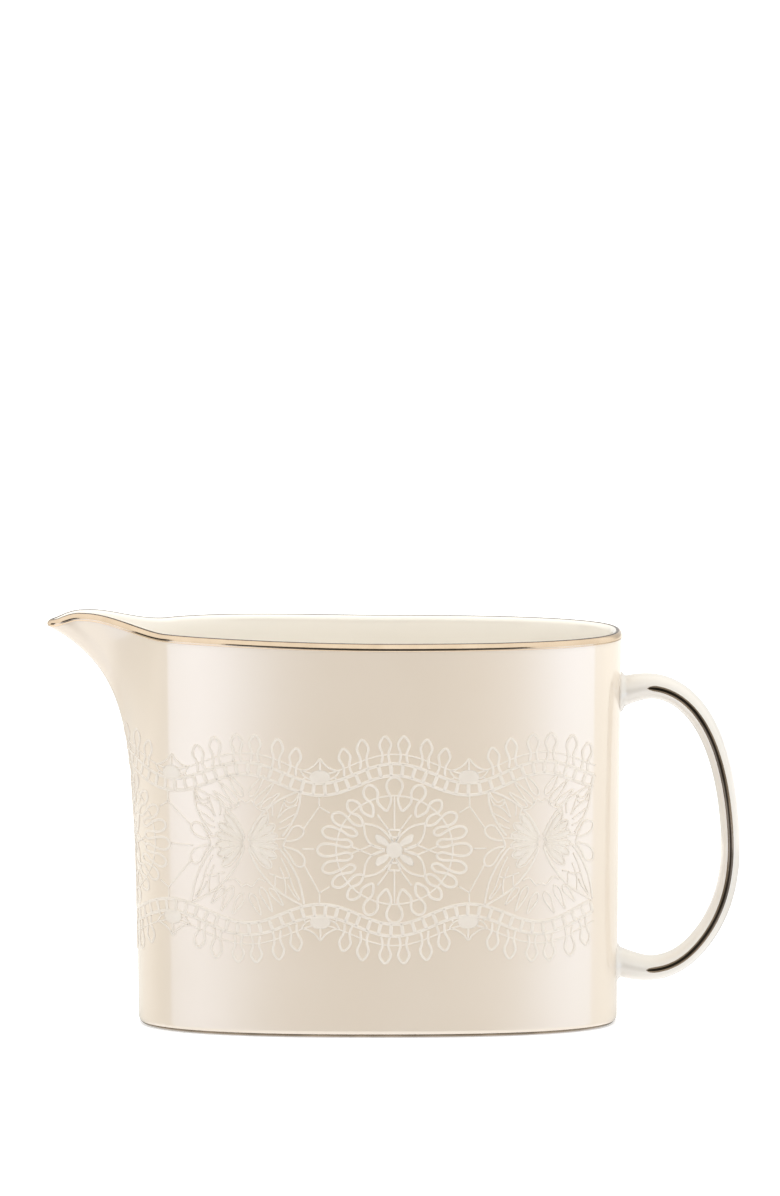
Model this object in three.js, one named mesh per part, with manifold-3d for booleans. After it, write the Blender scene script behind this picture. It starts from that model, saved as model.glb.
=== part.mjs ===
// A bone-china cream jug: a long oval body with a drawn-out pouring lip, a loop handle, precious-metal
// trims on rim, foot and handle, and a lace frieze in raised white enamel round the body.
// Millimetres, +Z up, +X towards the handle, the pouring lip towards -X, and Y = 0 the plane of symmetry.
// The origin is on the table, at the centre of the jug's outline.

import * as THREE from 'three';
import { mergeVertices } from 'three/addons/utils/BufferGeometryUtils.js';
import { TessellateModifier } from 'three/addons/modifiers/TessellateModifier.js';
import Module from 'manifold-3d';

const wasm = await Module();
wasm.setup();
const { lerp, smoothstep } = THREE.MathUtils;

// ---------------------------------------------------------------- driving dimensions

// Body oval, measured from the body's own centre line.
const BODY_X = -3.8;              // centre of the oval in the jug's frame
const RIM_HEIGHT = 95.0;          // the level part of the rim
const FOOT_HALF = { length: 57.4, depth: 23.9 };
const RIM_HALF = { length: 58.4, depth: 24.3 };
const OVAL_POWER = 2.5;           // 2 is an ellipse, higher is squarer

// Wall of the casting.
const WALL = 2.6;
const LIP_WIDTH = 2.4;            // across the rounded lip
const FLOOR_TOP = 4.6;
const FLOOR_FILLET = 3.6;
const FOOT_CORNER = 2.0;          // radius where the wall turns under
const FOOT_WIDTH = 3.0;           // flat ring that the jug stands on
const FOOT_RECESS = 1.5;

// Height of the rim: each step climbs by an amount between two places along the body.
const RIM_SLOPE = { climb: 0.9, from: 5, to: -52 };
const SPOUT_RISE = { climb: 3.5, from: -51, to: -70 };
const SPOUT_TIP_DROP = { climb: -1.8, from: -71.5, to: -79 };

// Pouring lip: its plan, and the shape in which the wall leans out to it.
const SPOUT_START_X = -51;        // where the rim leaves the oval
const SPOUT_RIM_PLAN = [          // half of the lip's outline seen from above, from its start to the tip
  [-54.3, 12.2], [-56.7, 10.3], [-59.1, 8.7], [-63.9, 6.3], [-68.7, 4.6], [-73.6, 3.4], [-77, 2.7],
];
const SPOUT_TIP_X = -79;
const SPOUT_SOFT_LEAN = 0.35;     // share of the lean that starts low on the wall
const SPOUT_UPRIGHT_FROM = 0.985; // share of the height above which the lip's wall stands upright

// Handle centre line in the plane of symmetry, from the upper root to the lower one.
const HANDLE_LINE = [
  [50.0, 77.4], [58.3, 80.0], [65.5, 81.4], [72.0, 79.2], [77.8, 73.0], [82.0, 62.8], [84.3, 49.0],
  [84.4, 38.5], [82.0, 27.8], [77.3, 19.7], [71.2, 14.5], [65.0, 13.0], [58.3, 14.4], [50.0, 17.3],
];
const HANDLE_WIDTH = 8.0;         // across the jug
const HANDLE_THICK = { ends: 6.6, middle: 4.6 };
const HANDLE_ROOT = 8.9;          // length of the centre line that runs inside the body
const JOINT_FLARE = 1.2;          // how far the slip fillet stands out of the handle at the wall
const JOINT_LENGTH = 5.2;
const JOINT_BURIED = 0.6;         // share of that length that the fillet runs on into the wall
const JOINT_THINNEST = 0.07;      // share of the flare left where the fillet ends on the handle

// Metal trims and lace enamel.
const TRIM_GAP = 0.12;
const TRIM_THICK = 0.25;
const RIM_BAND_FOOT = 93.5;       // height of the band's lower edge on the outside
const RIM_BAND_TURN = 100;        // degrees over the lip, from its outer side, that the band reaches
const FOOT_BAND_TURN = [32, 54];  // degrees round the foot corner, from the upright wall
const STRIPE_WIDTH = 1.3;
const STRIPE_FROM = 0.132;        // as shares of the handle's centre line
const STRIPE_TO = 0.868;
const LACE_GAP = 0.25;
const LACE_THICK = 0.3;
const LACE_MID_Z = 45.6;
const LACE_FRONT_SHIFT = 4.0;     // the side medallion sits this far behind the middle of the body
const LACE_PERIOD = 35.4;         // from a medallion to the next butterfly
const LACE_END = 53.0;            // how far past the middle of the body the frieze runs
const BORDER_CREST = 19.7;        // middle of the ladder border above the frieze's centre line
const BORDER_TROUGH = 14.4;
const BORDER_HALF = 1.7;
const PICOTS = [[2.2, 27.6], [7.5, 26.8], [11.8, 24.3]];    // offset from the crest, height of the tip
const PICOT_HALF = 2.2;
const PICOT_GAP_STEP = 0.4;       // how far the ladder's outer edge stands out between picots
const BUD_TIP = 20.2;
const BUD_HALF = 2.0;
const MEDALLION = { loops: 20, tip: 17.2, valley: 15.6, windows: 8 };
const BOOLEAN_GAP = 0.3;

// Fineness of the faceted surfaces.
const COLUMNS = 48;
const SPOUT_CROWDING = 0.45;      // how much closer the columns stand at the pouring lip
const HANDLE_SIDES = 12;
const HANDLE_STEPS = 30;
const LACE_EDGE = { spout: 4.5, corner: 7, side: 12 };   // longest edge of a facet laid on the wall
const EDGE_HALVINGS = 20;

// ---------------------------------------------------------------- materials

const glaze = { color: 0xefe4d6, roughness: 0.12, metalness: 0 };
const champagne = { color: 0xd9c3a6, roughness: 0.15, metalness: 1 };
const platinum = { color: 0x9a948c, roughness: 0.15, metalness: 1 };
const enamel = { color: 0xf4ede2, roughness: 0.45, metalness: 0 };

// ---------------------------------------------------------------- the body's surface

// The plain oval at a level from 0 at the foot to 1 at the rim.
function oval(angle, level) {
  const c = Math.cos(angle);
  const s = Math.sin(angle);
  const power = 2 / OVAL_POWER;
  return new THREE.Vector2(
    Math.sign(c) * lerp(FOOT_HALF.length, RIM_HALF.length, level) * Math.abs(c) ** power,
    Math.sign(s) * lerp(FOOT_HALF.depth, RIM_HALF.depth, level) * Math.abs(s) ** power,
  );
}

// Arc length round the oval at half height, from the handle end.
const ARC_STEPS = 1440;
const arcTable = [0];
for (let i = 1; i <= ARC_STEPS; i++) {
  const a = oval((i - 1) / ARC_STEPS * 2 * Math.PI, 0.5);
  const b = oval(i / ARC_STEPS * 2 * Math.PI, 0.5);
  arcTable.push(arcTable[i - 1] + a.distanceTo(b));
}
const QUARTER = arcTable[ARC_STEPS / 4];

function arcAt(angle) {
  const t = THREE.MathUtils.clamp(angle / (2 * Math.PI), 0, 1) * ARC_STEPS;
  const i = Math.min(Math.floor(t), ARC_STEPS - 1);
  return lerp(arcTable[i], arcTable[i + 1], t - i);
}

// The angle at a station: millimetres round the oval from the pouring lip, positive towards -Y.
function angleAt(station) {
  const arc = 2 * QUARTER + station;
  let i = arcTable.findIndex((value) => value > arc);
  if (i < 1) i = ARC_STEPS;
  const share = (arc - arcTable[i - 1]) / (arcTable[i] - arcTable[i - 1]);
  return (i - 1 + share) / ARC_STEPS * 2 * Math.PI;
}

// Half of the lip's outline in plan, from where it leaves the oval to the tip.
const spoutStart = Math.acos(-((-SPOUT_START_X / RIM_HALF.length) ** (OVAL_POWER / 2)));
const halfPlan = [oval(spoutStart, 1), ...SPOUT_RIM_PLAN.map(([x, y]) => new THREE.Vector2(x, y))];
const mirrored = halfPlan.map((p) => new THREE.Vector2(p.x, -p.y)).reverse();
const spoutRim = new THREE.SplineCurve([...halfPlan, new THREE.Vector2(SPOUT_TIP_X, 0), ...mirrored]);
const spoutArc = 2 * QUARTER - arcAt(spoutStart);
const spoutStretch = spoutRim.getLength() / 2 / spoutArc;

// The rim's plan: the oval, drawn out more and more towards the lip's tip.
function rimOutline(angle) {
  const station = arcAt(angle) - 2 * QUARTER;
  const into = 1 - Math.abs(station) / spoutArc;
  if (into <= 0) return oval(angle, 1);
  const share = (into + (spoutStretch - 1) * into ** 2) / spoutStretch / 2;
  return spoutRim.getPointAt(station < 0 ? share : 1 - share);
}

function rimHeight(x) {
  const step = ({ climb, from, to }) => climb * smoothstep(-x, -from, -to);
  return RIM_HEIGHT + step(RIM_SLOPE) + step(SPOUT_RISE) + step(SPOUT_TIP_DROP);
}

// A point of the outer wall, from the body's own centre line.
function outerWall(angle, level) {
  const rim = rimOutline(angle);
  const high = Math.min(level / SPOUT_UPRIGHT_FROM, 1);
  const lean = SPOUT_SOFT_LEAN * high ** 4 + (1 - SPOUT_SOFT_LEAN) * high ** 11;
  const plan = oval(angle, level).addScaledVector(rim.clone().sub(oval(angle, 1)), lean);
  return new THREE.Vector3(plan.x, plan.y, level * rimHeight(rim.x));
}

// The level outward direction of the wall.
function outward(angle, level) {
  const step = 0.01;
  const ahead = outerWall(angle + step, level);
  const behind = outerWall(angle - step, level);
  return new THREE.Vector3(ahead.y - behind.y, behind.x - ahead.x, 0).normalize();
}

// A point of the casting. A row says its level, how far it lies inside the wall, how far it drops
// below that level, and what share of the way it lies from the centre line to the wall.
function castingPoint(angle, { level, inset = 0, drop = 0, spread = 1 }) {
  const onWall = outerWall(angle, level);
  const point = onWall.clone().addScaledVector(outward(angle, level), -inset);
  return new THREE.Vector3(point.x * spread + BODY_X, point.y * spread, onWall.z - drop);
}

// A closed profile, turned round the oval instead of round a circle.
function turned(rows) {
  const lathe = new THREE.LatheGeometry(rows.map((row, i) => new THREE.Vector2(1, i)), COLUMNS);
  const position = lathe.getAttribute('position');
  for (let i = 0; i <= COLUMNS; i++) {
    const turn = (i % COLUMNS) / COLUMNS * 2 * Math.PI;
    const angle = turn + SPOUT_CROWDING * Math.sin(turn);
    rows.forEach((row, j) => {
      const point = castingPoint(angle, row);
      position.setXYZ(i * rows.length + j, point.x, point.y, point.z);
    });
  }
  return lathe;
}

// ---------------------------------------------------------------- solids

function solidOf(geometry) {
  const bare = geometry.clone();
  for (const name of ['normal', 'uv', 'uv1', 'color']) bare.deleteAttribute(name);
  const merged = mergeVertices(bare, 1e-3);
  return new wasm.Manifold(new wasm.Mesh({
    numProp: 3,
    vertProperties: merged.getAttribute('position').array,
    triVerts: new Uint32Array(merged.index.array),
  }));
}

function geometryOf(solid) {
  const mesh = solid.getMesh();
  const geometry = new THREE.BufferGeometry();
  geometry.setAttribute('position', new THREE.BufferAttribute(mesh.vertProperties, 3));
  geometry.setIndex(new THREE.BufferAttribute(mesh.triVerts, 1));
  geometry.computeVertexNormals();
  return geometry;
}

const jug = new THREE.Group();

function add(name, geometry, material) {
  const mesh = new THREE.Mesh(geometry, new THREE.MeshStandardMaterial(material));
  mesh.name = name;
  jug.add(mesh);
}

// ---------------------------------------------------------------- body

const levelAt = (height) => height / RIM_HEIGHT;

// Rounded lip: rows turned from the outer side over the top, a distance off the china.
function lipRows(turns, off) {
  const radius = LIP_WIDTH / 2 + off;
  return turns.map((degrees) => {
    const turn = THREE.MathUtils.degToRad(degrees);
    return {
      level: 1,
      inset: LIP_WIDTH / 2 - radius * Math.cos(turn),
      drop: LIP_WIDTH / 2 - radius * Math.sin(turn),
    };
  });
}

// A row of the rounded foot corner, turned from the upright wall, a distance off the china.
function cornerRow(degrees, off) {
  const turn = THREE.MathUtils.degToRad(degrees);
  const radius = FOOT_CORNER + off;
  const height = FOOT_CORNER - radius * Math.sin(turn);
  return { level: 0, inset: FOOT_CORNER - radius * Math.cos(turn), drop: -height };
}

function bodyGeometry() {
  const outerHeights = [24, 46, 56, 62, 67, 72, 77, 82, 86.5, 90.5, RIM_BAND_FOOT];
  const innerHeights = [30, 54, 68, 77, 84, 90];
  const wallRows = (heights, inset) => heights.map((height) => ({ level: levelAt(height), inset }));
  const footInner = FOOT_CORNER + FOOT_WIDTH;
  const outside = [...wallRows(outerHeights, 0), ...lipRows([0, 33, 66, RIM_BAND_TURN, 140, 180], 0)];
  const inside = [
    ...wallRows(innerHeights, WALL).reverse(),
    { level: 0, inset: WALL, drop: -FLOOR_TOP - FLOOR_FILLET },
    { level: 0, inset: WALL + FLOOR_FILLET * 0.3, drop: -FLOOR_TOP - FLOOR_FILLET * 0.3 },
    { level: 0, inset: WALL + FLOOR_FILLET, drop: -FLOOR_TOP },
    { level: 0, spread: 0, drop: -FLOOR_TOP },
  ];
  const under = [
    { level: 0, spread: 0, drop: -FOOT_RECESS },
    { level: 0, inset: footInner + FOOT_RECESS, drop: -FOOT_RECESS },
    { level: 0, inset: footInner },
    ...[90, 60, 30, 0].map((degrees) => cornerRow(degrees, 0)),
  ];
  return turned([...under, ...outside, ...inside]);
}
add('body', bodyGeometry(), glaze);

// The space the casting fills from outside, grown by a gap, to cut what is fixed onto it.
function bodyEnvelope(gap) {
  const heights = [0, 24, 54, 72, 83, 90.5];
  const wall = heights.map((height) => ({ level: levelAt(height), inset: -gap }));
  const ends = [{ level: 0, spread: 0 }, { level: 1, inset: -gap }, { level: 1, spread: 0 }];
  return solidOf(turned([ends[0], ...wall, ends[1], ends[2]]));
}
const envelope = bodyEnvelope(BOOLEAN_GAP);

// ---------------------------------------------------------------- metal bands

function rimBandGeometry() {
  const face = (off) => [
    { level: levelAt(RIM_BAND_FOOT), inset: -off },
    ...lipRows([0, 33, 66, RIM_BAND_TURN], off),
  ];
  const far = face(TRIM_GAP + TRIM_THICK);
  return turned([...far, ...face(TRIM_GAP).reverse(), far[0]]);
}
add('rim_band', rimBandGeometry(), champagne);

function footBandGeometry() {
  const [upper, lower] = FOOT_BAND_TURN;
  const near = (degrees) => cornerRow(degrees, TRIM_GAP);
  const far = (degrees) => cornerRow(degrees, TRIM_GAP + TRIM_THICK);
  return turned([near(lower), far(lower), far(upper), near(upper), near(lower)]);
}
add('foot_band', footBandGeometry(), platinum);

// ---------------------------------------------------------------- handle

const handleLine = new THREE.CatmullRomCurve3(
  HANDLE_LINE.map(([x, z]) => new THREE.Vector3(x + BODY_X, 0, z)), false, 'centripetal');

const handleThickness = (share) => {
  const towardsEnd = Math.abs(2 * share - 1);
  return lerp(HANDLE_THICK.middle, HANDLE_THICK.ends, towardsEnd ** 2);
};

// A point beside the handle's centre line: across is along Y, out is away from the loop's middle.
function besideHandle(share, out, across) {
  const centre = handleLine.getPointAt(share);
  const along = handleLine.getTangentAt(share);
  return new THREE.Vector3(centre.x + along.z * -out, across, centre.z + along.x * out);
}

// A rod that follows the handle's centre line; grown says how far it stands out of the handle.
function rodGeometry(from, to, sides, steps, grown) {
  const rod = new THREE.CylinderGeometry(1, 1, 1, sides, steps);
  const position = rod.getAttribute('position');
  const unit = new THREE.Vector3();
  for (let i = 0; i < position.count; i++) {
    unit.fromBufferAttribute(position, i);
    const share = lerp(from, to, unit.y + 0.5);
    const extra = grown(share);
    const point = besideHandle(
      share, unit.x * (handleThickness(share) / 2 + extra), unit.z * (HANDLE_WIDTH / 2 + extra));
    position.setXYZ(i, point.x, point.y, point.z);
  }
  return rod;
}

const handleCore = rodGeometry(0, 1, HANDLE_SIDES, HANDLE_STEPS, () => 0);
add('handle', geometryOf(solidOf(handleCore).subtract(envelope)), glaze);

// Fillets of slip where the handle is stuck onto the wall.
const handleLength = handleLine.getLength();
const rootShare = HANDLE_ROOT / handleLength;
const jointShare = JOINT_LENGTH / handleLength;

function jointGeometry(atUpper) {
  const flare = (share) => {
    const fromWall = ((atUpper ? share : 1 - share) - rootShare) / jointShare;
    const left = 1 - THREE.MathUtils.clamp(fromWall, -JOINT_BURIED, 1);
    return JOINT_FLARE * Math.max(left ** 2, JOINT_THINNEST);
  };
  const range = [rootShare - JOINT_BURIED * jointShare, rootShare + jointShare];
  const [from, to] = atUpper ? range : range.map((share) => 1 - share).reverse();
  const fillet = solidOf(rodGeometry(from, to, HANDLE_SIDES, 5, (share) => BOOLEAN_GAP + flare(share)));
  const bore = solidOf(rodGeometry(0, 1, HANDLE_SIDES, HANDLE_STEPS, () => BOOLEAN_GAP));
  return geometryOf(fillet.subtract(bore).subtract(envelope));
}
add('handle_joint_upper', jointGeometry(true), glaze);
add('handle_joint_lower', jointGeometry(false), glaze);

// A flat line of metal along the crest of each side of the handle.
function stripeGeometry(side) {
  const stripe = new THREE.BoxGeometry(1, STRIPE_WIDTH, TRIM_THICK, 24, 1, 1);
  const position = stripe.getAttribute('position');
  for (let i = 0; i < position.count; i++) {
    const share = lerp(STRIPE_FROM, STRIPE_TO, position.getX(i) + 0.5);
    const across = side * (HANDLE_WIDTH / 2 + TRIM_GAP + TRIM_THICK / 2) + position.getZ(i);
    const point = besideHandle(share, -position.getY(i), across);
    position.setXYZ(i, point.x, point.y, point.z);
  }
  return stripe;
}
add('handle_stripe_front', stripeGeometry(-1), platinum);
add('handle_stripe_back', stripeGeometry(1), platinum);

// ---------------------------------------------------------------- lace frieze

// Lays a flat shape, drawn as station and height, on the wall.
function onWall(station, height, lift) {
  const angle = angleAt(station);
  const rim = rimHeight(rimOutline(angle).x);
  const level = height / rim;
  return castingPoint(angle, { level, inset: -lift });
}

function wrap(geometry, side) {
  const position = geometry.getAttribute('position');
  for (let i = 0; i < position.count; i++) {
    const lift = LACE_GAP + position.getZ(i);
    const point = onWall(position.getX(i), position.getY(i), lift);
    position.setXYZ(i, point.x, point.y * side, point.z);
  }
  return geometry;
}

// Shapes are drawn about their own centre and moved to a station. An outline runs anticlockwise.
function enamelShape(outline, windows, station, longestEdge) {
  const points = (list) => {
    const placed = list.map(([u, z]) => new THREE.Vector2(u + station, z + LACE_MID_Z));
    return THREE.ShapeUtils.isClockWise(placed) ? placed.reverse() : placed;
  };
  const shape = new THREE.Shape(points(outline));
  for (const window of windows) shape.holes.push(new THREE.Path(points(window)));
  const flat = new THREE.ExtrudeGeometry(shape, { depth: LACE_THICK, bevelEnabled: false });
  flat.deleteAttribute('uv');
  flat.deleteAttribute('normal');
  return new TessellateModifier(longestEdge, EDGE_HALVINGS).modify(flat);
}

function mirroredFaces(geometry) {
  const position = geometry.getAttribute('position');
  const order = [0, 2, 1];
  const flipped = new Float32Array(position.count * 3);
  for (let i = 0; i < position.count; i++) {
    const from = i - i % 3 + order[i % 3];
    flipped.set([position.getX(from), position.getY(from), position.getZ(from)], i * 3);
  }
  return new THREE.BufferGeometry().setAttribute('position', new THREE.BufferAttribute(flipped, 3));
}

const polar = (degrees, radius) => {
  const turn = THREE.MathUtils.degToRad(degrees);
  return [radius * Math.sin(turn), radius * Math.cos(turn)];
};
const around = (count, first, make) => (
  Array.from({ length: count }, (_, i) => make(first + i * 360 / count)).flat()
);

// Medallion: a scalloped rosette pierced round its four-petalled flower.
function medallionGeometry(station, longestEdge) {
  const half = 180 / MEDALLION.loops;
  const outline = around(MEDALLION.loops, 0, (at) => [
    polar(at, MEDALLION.tip), polar(at + half, MEDALLION.valley),
  ]);
  const windows = around(MEDALLION.windows, 22.5, (at) => [
    [polar(at, 5.4), polar(at - 15, 9.2), polar(at, 10.6), polar(at + 15, 9.2)],
  ]);
  return enamelShape(outline, windows, station, longestEdge);
}

// Butterfly: two upper and two lower wings, pierced, drawn as its right half and mirrored.
function butterflyGeometry(station) {
  const rightHalf = [
    [0, 9.0], [4.2, 13.6], [9.5, 11.5], [13.4, 12.4], [12.6, 5.2], [9.4, 2.0], [13.2, 1.4],
    [9.8, -1.6], [12.4, -7.6], [13.2, -11.8], [8.0, -12.4], [3.4, -15.0], [0, -8.0],
  ];
  const leftHalf = rightHalf.slice(1, -1).map(([u, z]) => [-u, z]).reverse();
  const windows = [
    [[2.4, 5.0], [5.0, 10.8], [7.4, 9.8], [7.0, 6.4]],
    [[9.2, 9.6], [11.6, 10.4], [10.6, 5.4], [8.8, 5.0]],
    [[2.6, -5.0], [7.6, -5.4], [10.6, -10.6], [5.0, -11.0]],
  ];
  const mirrorWindow = (window) => window.map(([u, z]) => [-u, z]).reverse();
  const allWindows = [...windows, ...windows.map(mirrorWindow)];
  return enamelShape([...rightHalf, ...leftHalf], allWindows, station, LACE_EDGE.corner);
}

const SIDE_MEDALLION = QUARTER + LACE_FRONT_SHIFT;
const BUTTERFLY_LEFT = SIDE_MEDALLION - LACE_PERIOD;
const BUTTERFLY_RIGHT = SIDE_MEDALLION + LACE_PERIOD;
const FRIEZE_END = QUARTER + LACE_END;

const onFront = (flat) => wrap(flat, 1);
const onBack = (flat) => mirroredFaces(wrap(flat, -1));

add('lace_medallion_spout', onFront(medallionGeometry(0, LACE_EDGE.spout)), enamel);
add('lace_medallion_front', onFront(medallionGeometry(SIDE_MEDALLION, LACE_EDGE.side)), enamel);
add('lace_medallion_back', onBack(medallionGeometry(SIDE_MEDALLION, LACE_EDGE.side)), enamel);
add('lace_butterfly_front_left', onFront(butterflyGeometry(BUTTERFLY_LEFT)), enamel);
add('lace_butterfly_front_right', onFront(butterflyGeometry(BUTTERFLY_RIGHT)), enamel);
add('lace_butterfly_back_left', onBack(butterflyGeometry(BUTTERFLY_RIGHT)), enamel);
add('lace_butterfly_back_right', onBack(butterflyGeometry(BUTTERFLY_LEFT)), enamel);

// Ladder border: a wavy ribbon whose outer edge stands up in picots at each crest and a bud at each
// trough. A station is [place, phase from crest 0 to trough 1, height of a tip there or 0].
function borderStations() {
  const centres = [0, BUTTERFLY_LEFT, SIDE_MEDALLION, BUTTERFLY_RIGHT];
  const list = [];
  centres.forEach((centre, i) => {
    const before = i ? (centre - centres[i - 1]) / 2 : 0;
    const after = i < 3 ? (centres[i + 1] - centre) / 2 : FRIEZE_END - centre;
    const bud = i < 3 ? [[after - BUD_HALF, 0], [after, BUD_TIP]] : [[after, 0]];
    const side = PICOTS.flatMap(([offset, tip]) => [[offset, tip], [offset + PICOT_HALF, 0]]);
    if (i) {
      const leading = [...side, [before - BUD_HALF, 0]].reverse();
      leading.forEach(([u, tip]) => list.push([centre - u, u / before, tip]));
    }
    list.push([centre, 0, 0]);
    [...side, ...bud].forEach(([u, tip]) => list.push([centre + u, u / after, tip]));
  });
  return list;
}

function borderGeometry(upDown) {
  const half = borderStations().map(([station, phase, tip]) => {
    const middle = lerp(BORDER_TROUGH, BORDER_CREST, 0.5 + 0.5 * Math.cos(Math.PI * phase));
    const edge = middle + BORDER_HALF;
    return { station, heights: [middle - BORDER_HALF, edge, Math.max(edge + PICOT_GAP_STEP, tip)] };
  });
  const columns = [...half.slice(1).map((c) => ({ ...c, station: -c.station })).reverse(), ...half];
  const ribbon = new THREE.BoxGeometry(columns.length - 1, 2, LACE_THICK, columns.length - 1, 2, 1);
  const position = ribbon.getAttribute('position');
  for (let i = 0; i < position.count; i++) {
    const column = columns[Math.round(position.getX(i) + (columns.length - 1) / 2)];
    const row = Math.round(position.getY(i) * upDown) + 1;
    const height = LACE_MID_Z + upDown * column.heights[row];
    position.setXYZ(i, column.station, height, position.getZ(i) + LACE_THICK / 2);
  }
  return wrap(ribbon, 1);
}
add('lace_border_top', borderGeometry(1), enamel);
add('lace_border_bottom', borderGeometry(-1), enamel);

export default jug;
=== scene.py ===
"""A bone-china cream jug with metal trims and a raised lace frieze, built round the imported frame."""
import math

import bpy
import numpy as np
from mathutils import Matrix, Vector
from mathutils.geometry import delaunay_2d_cdt


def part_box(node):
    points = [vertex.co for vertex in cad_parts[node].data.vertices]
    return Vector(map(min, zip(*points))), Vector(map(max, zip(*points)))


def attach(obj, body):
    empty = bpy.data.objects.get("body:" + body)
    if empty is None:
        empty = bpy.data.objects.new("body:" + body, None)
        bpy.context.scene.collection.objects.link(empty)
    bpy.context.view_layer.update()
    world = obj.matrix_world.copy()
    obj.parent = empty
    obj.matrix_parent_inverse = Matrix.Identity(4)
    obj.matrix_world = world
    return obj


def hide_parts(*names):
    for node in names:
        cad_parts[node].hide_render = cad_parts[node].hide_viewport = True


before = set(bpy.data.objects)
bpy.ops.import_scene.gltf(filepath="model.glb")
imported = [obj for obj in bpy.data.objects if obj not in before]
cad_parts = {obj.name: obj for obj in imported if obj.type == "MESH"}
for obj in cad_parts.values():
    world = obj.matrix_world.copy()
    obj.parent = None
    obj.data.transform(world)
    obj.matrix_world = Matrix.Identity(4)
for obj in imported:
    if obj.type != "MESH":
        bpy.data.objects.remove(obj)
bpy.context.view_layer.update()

MM = 0.001

# ---- sizes, mm from the body's centre line

FOOT_HALF = (57.4, 23.9)          # half length and half depth of the body's oval
RIM_HALF = (58.4, 24.3)
OVAL_POWER = 2.5
RIM_SLOPE = (0.9, -5.0, 52.0)     # how far the rim climbs, and where along the body it starts and ends
SPOUT_RISE = (3.5, 51.0, 70.0)
SPOUT_TIP_DROP = (1.8, 71.5, 79.0)
SPOUT_TIP_X = -79.0
SPOUT_SOFT_LEAN = 0.35
SPOUT_UPRIGHT_FROM = 0.985        # share of the height above which the spout's wall stands upright
SPOUT_SHARP_LEAN_POWER = 11       # how late up the wall each part of the spout's lean sets in
SPOUT_SOFT_LEAN_POWER = 4
SPOUT_START_X = -51.0
SPOUT_LEAD_IN = 4.0               # spacing of the plan's points on the oval before the spout starts
SPOUT_RIM_PLAN = [
    (-54.3, 12.2), (-56.7, 10.3), (-59.1, 8.7), (-63.9, 6.3), (-68.7, 4.6), (-73.6, 3.4), (-77.0, 2.7),
]

WALL = 2.6
LIP_WIDTH = 2.4
FLOOR_TOP = 4.6
FLOOR_FILLET = 5.0
FOOT_CORNER = 2.0
FOOT_WIDTH = 3.0
FOOT_RECESS = 1.5
FOOT_BEVEL = 0.6                  # slope on the inner side of the foot ring
RECESS_ROLL = 1.1                 # radius of the rolled edge between that slope and the recess
RECESS_MARGIN = 2.5               # how far inside the foot ring the flat of the recess ends

HANDLE_LINE = [
    (50.0, 77.4), (58.3, 80.0), (65.5, 81.4), (72.0, 79.2), (77.8, 73.0), (82.0, 62.8), (84.3, 49.0),
    (84.4, 38.5), (82.0, 27.8), (77.3, 19.7), (71.2, 14.5), (65.0, 13.0), (58.3, 14.4), (50.0, 17.3),
]
HANDLE_WIDTH = 8.0
HANDLE_THICK_ENDS = 6.6
HANDLE_THICK_MIDDLE = 4.6
HANDLE_ROOT = 1.0                 # how deep the handle's ends stand in the wall
HANDLE_TURN = 7.0                 # length over which it turns square on to the wall
HANDLE_SIDES = 48

BAND_PROUD = 0.10                 # how far a fired metal film stands off the china here
BAND_SUNK = 0.05                  # how far its hidden face lies in the china
BAND_STEP = 0.02                  # the lip on its lower edge
BAND_INNER_PROUD = 0.3 * BAND_PROUD
FOOT_BAND_PROUD = 0.5 * BAND_PROUD
RIM_BAND_FOOT = 93.4
RIM_BAND_TURN = 97                # degrees over the lip, from its outer side, that the band reaches
PAINTED_DARK_FROM = 66                   # degrees over the lip where the band's darker inner edge begins, a dark reflection painted into the metal's tint
PAINTED_DARK_TO = RIM_BAND_TURN - 4      # where that edge starts to slope down to the china
FOOT_BAND_TURN = (34, 84)         # degrees round the foot corner
STRIPE_WIDTH = 1.4
STRIPE_START_X = 64.2
STRIPE_END = 2.5                  # length of the stripe's rounded ends
STRIPE_END_LEAST = 0.02           # share of its width that is left at their tips
STRIPE_PROUD = 0.09
STRIPE_SUNK = 0.04
JOINT_FILLET = 1.1                # radius of the slip fillet where the handle meets the wall
JOINT_TAPER = 0.45                # how much stouter the handle stands beside that fillet
JOINT_TAPER_LENGTH = 9.0
JOINT_WIDENING = 0.8              # share of the flare that also goes sideways

LACE_MID_Z = 45.6
LACE_FRONT_SHIFT = 4.0            # the side medallion sits this far behind the middle of the body
LACE_PERIOD = 35.4                # from a medallion to the next butterfly
LACE_END = 53.0                   # how far past the middle of the body the frieze runs
BUTTERFLY_RAISE = 1.3             # the butterflies' own middle stands this far above the frieze's
BORDER_CREST = 19.4               # middle of the ladder border above the frieze's centre line
BORDER_TROUGH = 14.6

body_high = np.array(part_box("body")[1]) / MM
CENTRE_X = body_high[0] - RIM_HALF[0]
RIM_HEIGHT = 95.0


# ---- lines

def smoothstep(x, low, high):
    t = np.clip((x - low) / (high - low), 0, 1)
    return t * t * (3 - 2 * t)


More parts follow.
